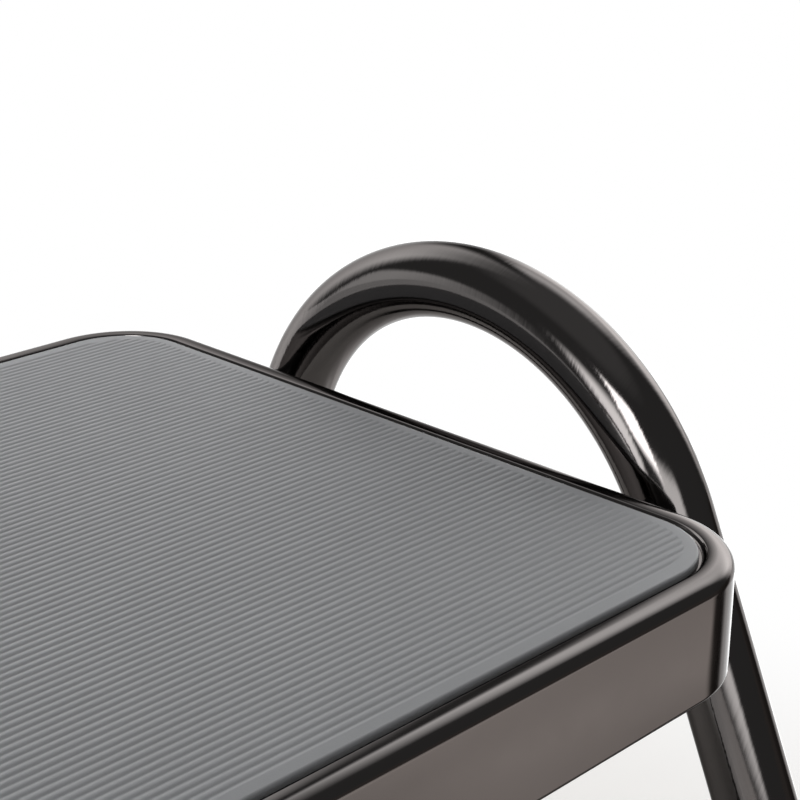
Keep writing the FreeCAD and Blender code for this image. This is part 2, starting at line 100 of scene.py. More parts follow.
class DeckSizes(PropertyGroup):
    """Pressed deck pan."""
    length: length("Length", "Deck from end skirt to end skirt", DECK_HIGH.x - DECK_LOW.x)
    width: length("Width", "Deck from front skirt to rear skirt", DECK_HIGH.y - DECK_LOW.y)
    crest: length("Crest height", "Top of the rim above the floor", DECK_HIGH.z)
    skirt: length("Skirt", "Depth of the skirt below the crest", DECK_HIGH.z - DECK_LOW.z)
    corner: length("Corner", "Radius of the corners in plan", 34 * MM)
    gauge: length("Sheet", "Thickness of the sheet", 1.2 * MM)
    roll: length("Rim roll", "Radius of the roll between rim and skirt", 3.6 * MM)
    crown: length("Rim crown", "Radius outside the crest of the rim", 6.5 * MM)
    slope: length("Rim slope", "Radius inside the crest of the rim", 18 * MM)
    lip: length("Lip", "Radius where the rim turns down beside the mat", 0.8 * MM)
    fall: length("Fall", "Radius of the nearly straight fall to the tray", 55 * MM)
    fillet: length("Fillet", "Radius where the fall runs into the tray", 0.9 * MM)
    hem_bend: length("Hem bend", "Radius where the skirt turns in", 2.4 * MM)
    hem: length("Hem", "Width of the turned-in hem", 9 * MM)


class MatSizes(PropertyGroup):
    """Ribbed rubber mat."""
    length: length("Length", "Mat along the deck", MAT_HIGH.x - MAT_LOW.x)
    width: length("Width", "Mat across the deck", MAT_HIGH.y - MAT_LOW.y)
    top: length("Top", "Rib tops above the floor", MAT_HIGH.z)
    corner: length("Corner", "Radius of the corners in plan", 24.4 * MM)
    edge: length("Edge", "Radius of the rounded top edge", 0.85 * MM)
    border: length("Border", "Plain border outside the ribs", 4.3 * MM)
    reach: length("Groove reach", "How far the sloped groove ends run into the border", 1.1 * MM)
    depth: length("Groove depth", "Rib tops to groove floors", 0.28 * MM)
    crown: length("Rib flat", "Half of a rib's flat top", 0.22 * MM)
    grooves: IntProperty(name="Grooves", description="Number of grooves across the mat", default=93, min=2)


class HoopSizes(PropertyGroup):
    """Bent tube at each end."""
    tube: length("Tube", "Outside diameter of the tube", HOOP_HIGH.x - HOOP_LOW.x)
    wall: length("Wall", "Thickness of the tube wall", 1.5 * MM)
    place: length("Place", "Tube's centre line from the middle of the deck", (HOOP_HIGH.x + HOOP_LOW.x) / 2)
    top: length("Top", "Top of the hoop above the floor", HOOP_HIGH.z)
    splay: angle("Splay", "Lean of the legs from upright", 23.5)
    drop: length("Bolt drop", "Bolts, where the arch meets the legs, below the crest", 19 * MM)
    pad: length("Foot pad", "Rubber and disc under the tube end, along the leg", 14 * MM)


class FootSizes(PropertyGroup):
    """Rubber foot on each tube end."""
    base: length("Base", "Radius of the base", 20 * MM)
    tread: length("Tread", "Height of the base along the leg", 13 * MM)
    shoulder: length("Shoulder", "Height where the sleeve begins", 20 * MM)
    sleeve: length("Sleeve", "Height of the sleeve's mouth", 44 * MM)
    wall: length("Wall", "Thickness of the sleeve", 4 * MM)
    bead: length("Bead", "Height of the bead round the mouth", 4 * MM)
    bulge: length("Bulge", "How far the bead stands out", 1 * MM)
    disc: length("Disc", "Thickness of the steel disc under the tube", 2 * MM)


class FasteningSizes(PropertyGroup):
    """Spacers, bolts, washers and dowel nuts."""
    spacer: length("Spacer", "Diameter of the spacers", 16 * MM)
    spacer_wrap: length("Spacer wrap", "How far a spacer reaches round the tube", 4 * MM)
    bolt: length("Bolt", "Diameter of the bolt shanks", 8 * MM)
    room: length("Hole room", "Room round the bolt shanks in their holes", 0.3 * MM)
    tip: length("Bolt tip", "Bolt end beyond the middle of the tube", 5.5 * MM)
    head: length("Bolt head", "Diameter of the button heads", 15 * MM)
    head_height: length("Head height", "Height of the button heads", 4.4 * MM)
    head_edge: length("Head edge", "Straight edge under the dome", 1.2 * MM)
    head_flat: length("Head flat", "Diameter of the flat round the socket", 6 * MM)
    socket: length("Socket", "Width of the hexagon socket across its flats", 5 * MM)
    socket_depth: length("Socket depth", "Depth of the hexagon socket", 2.6 * MM)
    washer: length("Washer", "Diameter of the plate washers", 20 * MM)
    washer_gauge: length("Washer gauge", "Thickness of the plate washers", 1.6 * MM)
    dowel: length("Dowel nut", "Diameter of the dowel nuts inside the tubes", 14 * MM)
    dowel_length: length("Dowel length", "Length of the dowel nuts along the tubes", 20 * MM)


class RailSizes(PropertyGroup):
    """Rails and end plates under the deck."""
    crown: length("Crown", "Width of the rail between its flanges", 24 * MM)
    gauge: length("Sheet", "Thickness of the rail's sheet", 1.5 * MM)
    bend: length("Bend", "Outer radius of the rail's bends", 2.5 * MM)
    corner: length("Plate corner", "Radius of the end plates' corners", 4 * MM)


class Finishes(PropertyGroup):
    """Colours of the materials."""
    chrome: colour("Black chrome", "Plating on deck and hoops", "#605d5c")
    mat: colour("Mat", "Moulded rubber of the mat", "#88898b")
    foot: colour("Feet", "Moulded rubber of the feet", "#232323")
    nylon: colour("Nylon", "Spacers between legs and deck", "#1f1f20")
    paint: colour("Paint", "Rails and end plates", "#232324")
    zinc: colour("Zinc", "Bolts, nuts, washers and discs", "#c9c9c4")
    floor: colour("Floor", "Studio floor", "#e6e3df")


class StageSizes(PropertyGroup):
    """Camera and studio."""
    eye: FloatVectorProperty(name="Camera", description="Place of the camera", size=3,
                             default=(-0.2066, -0.3816, 0.4371), subtype="TRANSLATION", unit="LENGTH")
    heading: angle("Heading", "Camera's heading from +X towards +Y", 44.95)
    dip: angle("Dip", "How far the camera looks down", 20.58)
    lens: amount("Lens", "Focal length in millimetres on a 36 mm frame", 82.0)
    key: amount("Key", "Brightness of the softbox behind the camera's left", 4.3)
    side: amount("Side card", "Brightness of the white card at the left", 1.8)
    front: amount("Front card", "Brightness of the white card in front", 1.15)
    wall: amount("Wall", "Brightness of the low grey wall at the left", 0.44)
    overhead: amount("Overhead", "Brightness of the overhead softbox", 2.85)
    sweep: amount("Sweep", "Brightness of the white sweep behind", 1.0)
    room: amount("Room", "Brightness of the dim room", 0.047)
    # Painted reflection: how much brighter reflections see the studio and the floor's glow than their light
    mirror: amount("Mirror", "Studio's brightness in reflections, as a share of its light", 2.8)
    lift: amount("Floor lift", "Light added to the floor near the object", 0.35)


class StepPlatform(PropertyGroup):
    """All the sizes and finishes of the step platform."""
    deck: PointerProperty(type=DeckSizes)
    mat: PointerProperty(type=MatSizes)
    hoop: PointerProperty(type=HoopSizes)
    foot: PointerProperty(type=FootSizes)
    fastening: PointerProperty(type=FasteningSizes)
    rail: PointerProperty(type=RailSizes)
    finish: PointerProperty(type=Finishes)
    stage: PointerProperty(type=StageSizes)


# Places worked out from the sizes

def bolt_height(settings):
    """The bolts sit where the arch of the hoop runs into its legs."""
    return settings.deck.crest - settings.hoop.drop


def arch_radius(settings):
    """Radius of the arch's centre line, from the bolts up to the top of the hoop."""
    hoop = settings.hoop
    return (hoop.top - hoop.tube / 2 - bolt_height(settings)) / (1 - math.sin(hoop.splay))


def arch_centre(settings):
    """Height of the arch's centre above the floor."""
    return bolt_height(settings) - arch_radius(settings) * math.sin(settings.hoop.splay)


def bolt_side(settings):
    """The bolts' distance from the middle of the deck, crossways."""
    return arch_radius(settings) * math.cos(settings.hoop.splay)


def leg_run(settings):
    """Length of a leg's straight part, from the arch to the end of the tube."""
    return bolt_height(settings) / math.cos(settings.hoop.splay) - settings.hoop.pad


def foot_side(settings):
    """Where a leg's centre line meets the floor, crossways."""
    return bolt_side(settings) + bolt_height(settings) * math.tan(settings.hoop.splay)


# Modelling by hand, in code

def begin():
    """Nothing stays selected when a new piece is begun."""
    bpy.ops.object.select_all(action="DESELECT")


def choose(*pieces):
    """Select these pieces alone, with the first one active."""
    begin()
    for piece in pieces:
        piece.select_set(True)
    bpy.context.view_layer.objects.active = pieces[0]


@contextmanager
def editing(piece):
    """Edit mode, begun with points as what is selected."""
    bpy.context.view_layer.objects.active = piece
    bpy.ops.object.mode_set(mode="EDIT")
    bpy.ops.mesh.select_mode(type="VERT")
    yield bmesh.from_edit_mesh(piece.data)
    bpy.ops.object.mode_set(mode="OBJECT")


def settle(piece):
    """Put the object's place, turn and scale into its mesh."""
    choose(piece)
    bpy.ops.object.transform_apply(location=True, rotation=True, scale=True)
    return piece


def put(piece, turn, place):
    """Turn a piece and move it to its place."""
    piece.rotation_euler = turn
    piece.location = place
    settle(piece)


def sheet(long, wide, place):
    """A flat sheet lying at a place."""
    begin()
    bpy.ops.mesh.primitive_plane_add(size=1, location=place)
    piece = bpy.context.object
    piece.scale = (long, wide, 1)
    return settle(piece)


def join(*pieces):
    """Join these pieces into the first one."""
    choose(*pieces)
    bpy.ops.object.join()
    return pieces[0]


def pick(mesh, piece, kind, test):
    """Select only the points, edges or faces that pass the test."""
    bpy.ops.mesh.select_mode(type=kind)
    bpy.ops.mesh.select_all(action="DESELECT")
    for part in {"VERT": mesh.verts, "EDGE": mesh.edges, "FACE": mesh.faces}[kind]:
        if test(part):
            part.select_set(True)
    bmesh.update_edit_mesh(piece.data)


def face_outward():
    """Turn every face of the mesh being edited outward."""
    bpy.ops.mesh.select_all(action="SELECT")
    bpy.ops.mesh.normals_make_consistent(inside=False)


def extrude(offset):
    """Draw what is selected out by an offset."""
    bpy.ops.mesh.extrude_region_move(TRANSFORM_OT_translate={"value": offset})


def apply_modifier(piece, kind, **values):
    """Add a modifier with these values and apply it."""
    modifier = piece.modifiers.new(kind.title(), kind)
    for key, value in values.items():
        setattr(modifier, key, value)
    choose(piece)
    bpy.ops.object.modifier_apply(modifier=modifier.name)


def cut(piece, tool):
    """Cut a piece by a tool, and clear the tool away."""
    apply_modifier(piece, "BOOLEAN", operation="DIFFERENCE", solver="EXACT", object=tool)
    bpy.data.objects.remove(tool)


def smooth(piece, degrees):
    """Smooth shading up to an angle, with flat faces kept flat beside their rounded edges."""
    choose(piece)
    bpy.ops.object.shade_smooth_by_angle(angle=math.radians(degrees))
    apply_modifier(piece, "WEIGHTED_NORMAL", mode="FACE_AREA", keep_sharp=True)


def copy_of(piece, matrix):
    """A copy with its own mesh, moved in the mesh."""
    twin = piece.copy()
    twin.data = piece.data.copy()
    twin.data.transform(matrix)
    bpy.context.scene.collection.objects.link(twin)
    return twin


def keep(piece, name, slot, material, *nodes):
    """Name a finished piece, dress it, and let it stand for its CAD nodes."""
    piece.name = name
    piece.data.name = name
    piece.data.materials.clear()
    piece.data.materials.append(material)
    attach(piece, "root")
    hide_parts(*nodes)


def keep_both(piece, slot, material, *names):
    """Keep a piece and its copy on the far side, by their own names and those of their CAD nodes."""
    for half, (name, node) in zip((piece, copy_of(piece, HALF_TURN)), names):
        keep(half, name, slot, material, node)


def arc(centre, radius, start, end, steps):
    """Points along an arc after its first, as pairs in the plane of a section."""
    turns = [math.radians(start + (end - start) * step / steps) for step in range(1, steps + 1)]
    return [(centre[0] + radius * math.cos(turn), centre[1] + radius * math.sin(turn)) for turn in turns]


def bent(bends):
    """Points of a section that goes straight up at first, through bends of radius, turn and steps."""
    points, inward, up, lean = [], 0.0, 0.0, math.pi / 2
    for radius, turn, steps in bends:
        part = math.radians(turn) / steps
        chord = 2 * radius * math.sin(abs(part) / 2)
        for _ in range(steps):
            inward += chord * math.cos(lean + part / 2)
            up += chord * math.sin(lean + part / 2)
            lean += part
            points.append((inward, up))
    return points


def rim_section(deck):
    """The rim from the top of the skirt over its crest and down to the tray, by radius, degrees and steps."""
    return bent(((deck.roll, -62, 12), (deck.crown, -28, 8), (deck.slope, -7, 5), (deck.lip, -55, 7),
                 (deck.fall, -0.8, 1), (deck.fillet, 62.8, 7)))


def tray_level(settings):
    """Height of the tray under the mat."""
    heights = [up for inward, up in rim_section(settings.deck)]
    return settings.deck.crest - max(heights) + heights[-1]


def inset_along(points, start, way=1):
    """Inset the selected face again and again, so that its rim follows a section."""
    before = start
    for point in points:
        bpy.ops.mesh.inset(thickness=point[0] - before[0], depth=(point[1] - before[1]) * way,
                           use_even_offset=True)
        before = point


def rounded_plate(long, wide, corner, height, steps):
    """A flat plate with round corners, lying at a height."""
    piece = sheet(long, wide, (0, 0, height))
    with editing(piece):
        bpy.ops.mesh.select_all(action="SELECT")
        bpy.ops.mesh.bevel(affect="VERTICES", offset=corner, offset_type="OFFSET", segments=steps)
    return piece


def turned(rings, steps):
    """A round piece about Z, from a closed disc upwards through rings of radius and height."""
    begin()
    radius, height = rings[0]
    bpy.ops.mesh.primitive_circle_add(vertices=steps, radius=radius, fill_type="NGON", location=(0, 0, height))
    piece = settle(bpy.context.object)
    with editing(piece):
        bpy.ops.mesh.select_all(action="SELECT")
        for wide, high in rings[1:]:
            extrude((0, 0, high - height))
            bpy.ops.transform.resize(value=(wide / radius, wide / radius, 1), center_override=(0, 0, high))
            radius, height = wide, high
        face_outward()
    return piece


def rod(radius, reach, steps, matrix):
    """A plain rod along Z, used only as a cutting tool."""
    begin()
    bpy.ops.mesh.primitive_cylinder_add(vertices=steps, radius=radius, depth=reach)
    tool = bpy.context.object
    tool.data.transform(matrix)
    return tool


def break_edges(piece, width):
    """Round off the sharp edges of a piece."""
    with editing(piece):
        bpy.ops.mesh.select_mode(type="EDGE")
        bpy.ops.mesh.select_all(action="DESELECT")
        bpy.ops.mesh.edges_select_sharp(sharpness=math.radians(30))
        bpy.ops.mesh.bevel(affect="EDGES", offset=width, segments=2, clamp_overlap=True)


# Materials

def feed(tree, node, inputs):
    """Set or link the inputs of a node."""
    for key, value in inputs.items():
        if isinstance(value, bpy.types.NodeSocket):
            tree.links.new(value, node.inputs[key])
        else:
            node.inputs[key].default_value = value


def add_node(tree, kind, inputs=None, **values):
    """Add a node, set its values, and set or link its inputs."""
    node = tree.nodes.new(kind)
    for key, value in values.items():
        setattr(node, key, value)
    feed(tree, node, inputs or {})
    return node


def new_material(name):
    """The material of this name, with its node tree if it is new."""
    material = bpy.data.materials.get(name)
    if material:
        return material, None
    material = bpy.data.materials.new(name)
    material.use_nodes = True
    return material, material.node_tree


def black_chrome(settings, name, haze_low, haze_high, wander, polish):
    """Black chrome on steel: a dark, slightly warm mirror.
    Pressing and bending leave a faint long ripple, and polishing fine marks, so the reflections wander a little."""
    material, tree = new_material(name)
    if tree is None:
        return material
    place = add_node(tree, "ShaderNodeTexCoord").outputs["Object"]
    ripple = add_node(tree, "ShaderNodeTexNoise", {"Vector": place, "Scale": 1 / (38 * MM), "Detail": 1.0})
    haze = add_node(tree, "ShaderNodeTexNoise", {"Vector": place, "Scale": 1 / (9 * MM), "Detail": 4.0})
    rough = add_node(tree, "ShaderNodeMapRange", {
        "Value": haze.outputs["Fac"], "From Min": 0.3, "From Max": 0.7, "To Min": haze_low, "To Max": haze_high})
    across = add_node(tree, "ShaderNodeMapping", {"Vector": place, "Scale": (0.06, 1.0, 0.06)})
    marks = add_node(tree, "ShaderNodeTexNoise", {
        "Vector": across.outputs["Vector"], "Scale": 1 / (1.6 * MM), "Detail": 2.0})
    fine = add_node(tree, "ShaderNodeBump", {
        "Height": marks.outputs["Fac"], "Strength": polish, "Distance": 0.06 * MM})
    bump = add_node(tree, "ShaderNodeBump", {"Height": ripple.outputs["Fac"], "Strength": wander,
                                             "Distance": 0.3 * MM, "Normal": fine.outputs["Normal"]})
    feed(tree, tree.nodes["Principled BSDF"], {
        "Base Color": settings.finish.chrome, "Metallic": 1.0, "Specular Tint": (0.4, 0.4, 0.4, 1.0),
        "Roughness": rough.outputs["Result"], "Normal": bump.outputs["Normal"]})
    return material


def polished_chrome(settings):
    """Black chrome on polished tube: sharp reflections."""
    return black_chrome(settings, "black_chrome_on_polished_tube", 0.08, 0.12, 0.25, 0.5)


def satin_chrome(settings):
    """Black chrome on pressed sheet: the sheet's grain softens the reflections."""
    return black_chrome(settings, "black_chrome_on_pressed_sheet", 0.1, 0.14, 0.25, 0.1)


def moulded(name, tone, rough, grain, cloud=(12 * MM, 4.0), shade=(0.8, 1.25)):
    """A moulded or sprayed surface: one colour in soft clouds, broken by the grain of its mould or spray.
    rough is its least and greatest roughness, grain its size, strength and depth, cloud the clouds' size and detail,
    and shade their darkest and lightest share of the colour."""
    material, tree = new_material(name)
    if tree is None:
        return material
    place = add_node(tree, "ShaderNodeTexCoord").outputs["Object"]
    clouds = add_node(tree, "ShaderNodeTexNoise", {"Vector": place, "Scale": 1 / cloud[0], "Detail": cloud[1]})
    grains = add_node(tree, "ShaderNodeTexNoise", {"Vector": place, "Scale": 1 / grain[0], "Detail": 2.0})
    darker, lighter = [(*(part * share for part in tone[:3]), 1.0) for share in shade]
    mix = add_node(tree, "ShaderNodeMix", {
        "Factor": clouds.outputs["Fac"], "A": darker, "B": lighter}, data_type="RGBA")
    haze = add_node(tree, "ShaderNodeMapRange", {
        "Value": clouds.outputs["Fac"], "To Min": rough[0], "To Max": rough[1]})
    bump = add_node(tree, "ShaderNodeBump", {
        "Height": grains.outputs["Fac"], "Strength": grain[1], "Distance": grain[2]})
    feed(tree, tree.nodes["Principled BSDF"], {
        "Base Color": mix.outputs["Result"], "Roughness": haze.outputs["Result"], "IOR": 1.5,
        "Normal": bump.outputs["Normal"]})
    return material


def mat_rubber(settings):
    """Moulded grey rubber: matt, with a fine mould grain and slightly uneven grey."""
    return moulded("moulded_grey_rubber", settings.finish.mat, (0.58, 0.58), (0.45 * MM, 0.35, 0.06 * MM),
                   (24 * MM, 5.0), (0.93, 1.06))


def foot_rubber(settings):
    """Moulded black rubber: dull, with a coarse grain from the mould."""
    return moulded("moulded_black_rubber", settings.finish.foot, (0.54, 0.7), (0.6 * MM, 0.4, 0.05 * MM))


def nylon(settings):
    """Moulded black nylon: satin, finely textured."""
    return moulded("moulded_black_nylon", settings.finish.nylon, (0.37, 0.53), (0.4 * MM, 0.4, 0.03 * MM))


def black_paint(settings):
    """Sprayed black paint on steel sheet: satin, with a little orange peel."""
    return moulded("sprayed_black_paint", settings.finish.paint, (0.3, 0.46), (1.6 * MM, 0.4, 0.03 * MM))


def zinc(settings):
    """Zinc plate on steel: a pale metal, mottled where the bath crystallised."""
    material, tree = new_material("zinc_plated_steel")
    if tree is None:
        return material
    place = add_node(tree, "ShaderNodeTexCoord").outputs["Object"]
    spangle = add_node(tree, "ShaderNodeTexVoronoi", {"Vector": place, "Scale": 1 / (1.6 * MM)})
    tone = add_node(tree, "ShaderNodeMapRange", {
        "Value": spangle.outputs["Distance"], "To Min": 0.24, "To Max": 0.4})
    scratch = add_node(tree, "ShaderNodeTexNoise", {"Vector": place, "Scale": 1 / (0.5 * MM), "Detail": 3.0})
    bump = add_node(tree, "ShaderNodeBump", {
        "Height": scratch.outputs["Fac"], "Strength": 0.2, "Distance": 0.02 * MM})
    feed(tree, tree.nodes["Principled BSDF"], {
        "Base Color": settings.finish.zinc, "Metallic": 1.0, "Roughness": tone.outputs["Result"],
        "Normal": bump.outputs["Normal"]})
    return material


# Pieces

class STEP_OT_deck_pan(Operator):
    """Press the deck: skirt, rolled rim, dished tray and turned-in hem from one plate"""
    bl_idname = "step_platform.deck_pan"
    bl_label = "Deck pan"

    def execute(self, context):
        settings = context.scene.step_platform
        deck = settings.deck
        foot_of_skirt = deck.crest - deck.skirt
        piece = rounded_plate(deck.length, deck.width, deck.corner, foot_of_skirt + deck.hem_bend, 32)
        rim = rim_section(deck)
        rise = max(up for inward, up in rim)
        hem = arc((deck.hem_bend, deck.hem_bend), deck.hem_bend, 180, 270, 6)
        with editing(piece) as mesh:
            extrude((0, 0, deck.skirt - deck.hem_bend - rise))
            inset_along(rim, (0, 0))
            pick(mesh, piece, "FACE", lambda face: face.normal.z < -0.5)
            inset_along(hem + [(deck.hem, 0)], (0, deck.hem_bend), -1)
            bpy.ops.mesh.delete(type="FACE")
        apply_modifier(piece, "SOLIDIFY", thickness=deck.gauge, offset=-1, use_even_offset=True)
        drill(settings, piece, (1, -1), (Matrix(), HALF_TURN))
        smooth(piece, 40)
        keep(piece, "pressed_deck", "black_chrome", satin_chrome(settings), "deck_pan")
        return {"FINISHED"}


class STEP_OT_tread_mat(Operator):
    """Mould the mat: a sheet with a rounded edge, and strips sunk into it as grooves"""
    bl_idname = "step_platform.tread_mat"
    bl_label = "Tread mat"

    def execute(self, context):
        settings = context.scene.step_platform
        mat = settings.mat
        under, top = tray_level(settings), mat.top
        field_long = mat.length - 2 * (mat.border - mat.reach)
        field_wide = mat.width - 2 * mat.border
        field_corner = mat.corner - mat.border
        pitch = field_wide / mat.grooves

        begin()
        bpy.ops.mesh.primitive_grid_add(x_subdivisions=1, y_subdivisions=mat.grooves, size=1,
                                        location=(0, 0, top))
        field = bpy.context.object
        field.scale = (field_long, field_wide, 1)
        settle(field)
        with editing(field) as mesh:
            for row in range(math.ceil(field_corner / pitch)):
                level = field_wide / 2 - row * pitch
                drop = field_corner - math.sqrt(field_corner ** 2 - (field_corner - row * pitch) ** 2)
                for end in (1, -1):
                    pick(mesh, field, "VERT",
                         lambda v: abs(abs(v.co.y) - level) < pitch / 4 and v.co.x * end > 0)
                    bpy.ops.transform.translate(value=(-end * drop, 0, 0))

        piece = rounded_plate(mat.length, mat.width, mat.corner, under, 24)
        with editing(piece):
            extrude((0, 0, top - under - mat.edge))
            inset_along(arc((mat.edge, -mat.edge), mat.edge, 180, 90, 4), (0, -mat.edge))
            bpy.ops.mesh.delete(type="ONLY_FACE")
        join(piece, field)
        # Steps from a rib's top into a groove: millimetres inward, and the share of the depth that each goes down
        shape = ((0.3, -0.13), (0.3, -0.35), (0.25, -0.37), (0.15, -0.15))
        steps = [(mat.crown, 0)] + [(inward * MM, share * mat.depth) for inward, share in shape]
        with editing(piece) as mesh:
            pick(mesh, piece, "EDGE", lambda edge: edge.is_boundary)
            bpy.ops.mesh.fill(use_beauty=False)
            pick(mesh, piece, "FACE", lambda face: len(face.verts) == 4 and face.normal.z > 0.9
                 and face.calc_center_median().z > top - mat.edge / 10
                 and max(abs(v.co.y) for v in face.verts) < field_wide / 2 + pitch / 8
                 and face.calc_area() > pitch * field_long / 2)
            for inward, down in steps:
                bpy.ops.mesh.inset(thickness=inward, depth=down, use_individual=True, use_even_offset=True)
            face_outward()
        smooth(piece, 50)
        keep(piece, "ribbed_mat", "mat_rubber", mat_rubber(settings), "tread_mat")
        return {"FINISHED"}


class STEP_OT_hoops(Operator):
    """Bend the two hoops: a ring drawn up one leg, spun over the arch and drawn down the other"""
    bl_idname = "step_platform.hoops"
    bl_label = "Hoops"

    def execute(self, context):
        settings = context.scene.step_platform
        hoop = settings.hoop
        lean = Vector((0, math.sin(hoop.splay), math.cos(hoop.splay)))
        run = leg_run(settings)
        start = Vector((hoop.place, -bolt_side(settings), bolt_height(settings))) - lean * run
        begin()
        bpy.ops.mesh.primitive_circle_add(vertices=72, radius=hoop.tube / 2, location=start,
                                          rotation=(-hoop.splay, 0, 0))
        piece = settle(bpy.context.object)
        with editing(piece):
            bpy.ops.mesh.select_all(action="SELECT")
            extrude(lean * run)
            bpy.ops.mesh.spin(steps=96, angle=math.pi - 2 * hoop.splay, axis=(1, 0, 0),
                              center=(hoop.place, 0, arch_centre(settings)))
            extrude((0, run * lean.y, -run * lean.z))
            face_outward()
        apply_modifier(piece, "SOLIDIFY", thickness=hoop.wall, offset=-1, use_even_offset=True)
        drill(settings, piece, (1, -1))
        smooth(piece, 40)
        keep_both(piece, "black_chrome", polished_chrome(settings), ("hoop_tube_right", "hoop_right"),
                  ("hoop_tube_left", "hoop_left"))
        return {"FINISHED"}


def leg_tool(settings):
    """A rod along a rear leg at its bolt, to hollow what sits against the tube."""
    hoop = settings.hoop
    fit, reach = 0.05 * MM, 80 * MM
    spot = Matrix.Translation((hoop.place, bolt_side(settings), bolt_height(settings)))
    return rod(hoop.tube / 2 + fit, reach, 96, spot @ Matrix.Rotation(hoop.splay, 4, "X"))


def bolt_tool(settings, room, side=1, turn=Matrix()):
    """A rod along the bolt of a right leg, or turned to the left end, with room round the shank."""
    reach = 60 * MM
    place = (settings.hoop.place - reach / 2, side * bolt_side(settings), bolt_height(settings))
    along = Matrix.Rotation(math.pi / 2, 4, "Y")
    return rod(settings.fastening.bolt / 2 + room, reach, 48, turn @ Matrix.Translation(place) @ along)


def drill(settings, piece, sides=(1,), turns=(Matrix(),)):
    """Drill a piece for the bolts at these sides and ends."""
    for turn in turns:
        for side in sides:
            cut(piece, bolt_tool(settings, settings.fastening.room, side, turn))


def at_bolt(settings, piece, along, back=False):
    """Turn a piece from Z to X or back along it, and put it on the right rear bolt beside the hoop's plane."""
    put(piece, (0, -math.pi / 2 if back else math.pi / 2, 0),
        (settings.hoop.place + along, bolt_side(settings), bolt_height(settings)))


def at_each_leg(piece):
    """The piece of the right rear leg, mirrored in turn to every leg."""
    twins = {}
    for name, end, side in LEGS:
        twin = copy_of(piece, Matrix.Diagonal((end, side, 1, 1)))
        if end * side < 0:
            twin.data.flip_normals()
        twins[name] = twin
    bpy.data.objects.remove(piece)
    return twins


class STEP_OT_spacers(Operator):
    """Mould the spacers between the legs and the end skirts, hollowed to the tube"""
    bl_idname = "step_platform.spacers"
    bl_label = "Spacers"

    def execute(self, context):
        settings = context.scene.step_platform
        fastening = settings.fastening
        gap = settings.hoop.place - settings.hoop.tube / 2 - settings.deck.length / 2
        reach = gap + fastening.spacer_wrap
        radius = fastening.spacer / 2
        edge = 0.8 * MM
        rim = arc((radius - edge, edge), edge, -90, 0, 4)
        piece = turned([(radius - edge, 0), *rim, (radius, reach)], FACETS)
        at_bolt(settings, piece, settings.deck.length / 2 - settings.hoop.place)
        cut(piece, leg_tool(settings))
        drill(settings, piece)
        smooth(piece, 35)
        for name, twin in at_each_leg(piece).items():
            keep(twin, f"spacer_moulded_{name}", "spacer_plastic", nylon(settings), f"spacer_{name}")
        return {"FINISHED"}


class STEP_OT_feet(Operator):
    """Mould the feet: a beaded sleeve on a wide base, cut level with the floor"""
    bl_idname = "step_platform.feet"
    bl_label = "Feet"

    def execute(self, context):
        settings = context.scene.step_platform
        foot, hoop = settings.foot, settings.hoop
        fit, lip, mouth, sole = 0.1 * MM, 1.5 * MM, 0.4 * MM, 0.8 * MM
        seat = hoop.tube / 2 + fit
        sleeve = seat + foot.wall
        drop = -foot.base * math.tan(hoop.splay)
        bead_radius = (foot.bead ** 2 / 4 + foot.bulge ** 2) / (2 * foot.bulge)
        bead_turn = math.degrees(math.asin(foot.bead / 2 / bead_radius))
        bead_centre = (sleeve + foot.bulge - bead_radius, foot.sleeve - foot.bead / 2)
        rings = [(foot.base, drop), (foot.base, foot.tread - lip)]
        rings += arc((foot.base - lip, foot.tread - lip), lip, 0, 65, 5)
        # The shoulder sweeps in to the sleeve
        rings += [(sleeve + 0.9 * MM, foot.shoulder - 1.6 * MM), (sleeve + 0.25 * MM, foot.shoulder)]
        rings += [(sleeve, foot.shoulder + 2 * MM), (sleeve, foot.sleeve - foot.bead)]
        rings += arc(bead_centre, bead_radius, -bead_turn, bead_turn, 8)
        rings += [(seat + mouth, foot.sleeve), (seat, foot.sleeve - mouth), (seat, hoop.pad - foot.disc)]
        piece = turned(rings, 80)
        floor_normal = Vector((0, math.sin(hoop.splay), math.cos(hoop.splay)))
        with editing(piece) as mesh:
            bpy.ops.mesh.select_all(action="SELECT")
            bpy.ops.mesh.bisect(plane_co=(0, 0, 0), plane_no=floor_normal, use_fill=True, clear_inner=True)
            pick(mesh, piece, "FACE", lambda face: face.normal.dot(floor_normal) < -0.99)
            bpy.ops.mesh.inset(thickness=sole, depth=0, use_even_offset=True)
        put(piece, (hoop.splay, 0, 0), (hoop.place, foot_side(settings), 0))
        smooth(piece, 45)
        for name, twin in at_each_leg(piece).items():
            keep(twin, f"foot_moulded_{name}", "foot_rubber", foot_rubber(settings), f"foot_{name}")
        return {"FINISHED"}


class STEP_OT_end_plates(Operator):
    """Shear and drill the end plates inside the end skirts"""
    bl_idname = "step_platform.end_plates"
    bl_label = "End plates"

    def execute(self, context):
        settings = context.scene.step_platform
        size = PLATE_HIGH - PLATE_LOW
        piece = rounded_plate(size.z, size.y, settings.rail.corner, 0, 8)
        with editing(piece):
            bpy.ops.mesh.select_all(action="SELECT")
            extrude((0, 0, size.x))
        break_edges(piece, 0.4 * MM)
        put(piece, (0, math.pi / 2, 0), (PLATE_LOW.x, 0, (PLATE_LOW.z + PLATE_HIGH.z) / 2))
        drill(settings, piece, (1, -1))
        smooth(piece, 35)
        keep_both(piece, "black_paint", black_paint(settings), ("end_plate_bar_right", "end_plate_right"),
                  ("end_plate_bar_left", "end_plate_left"))
        return {"FINISHED"}


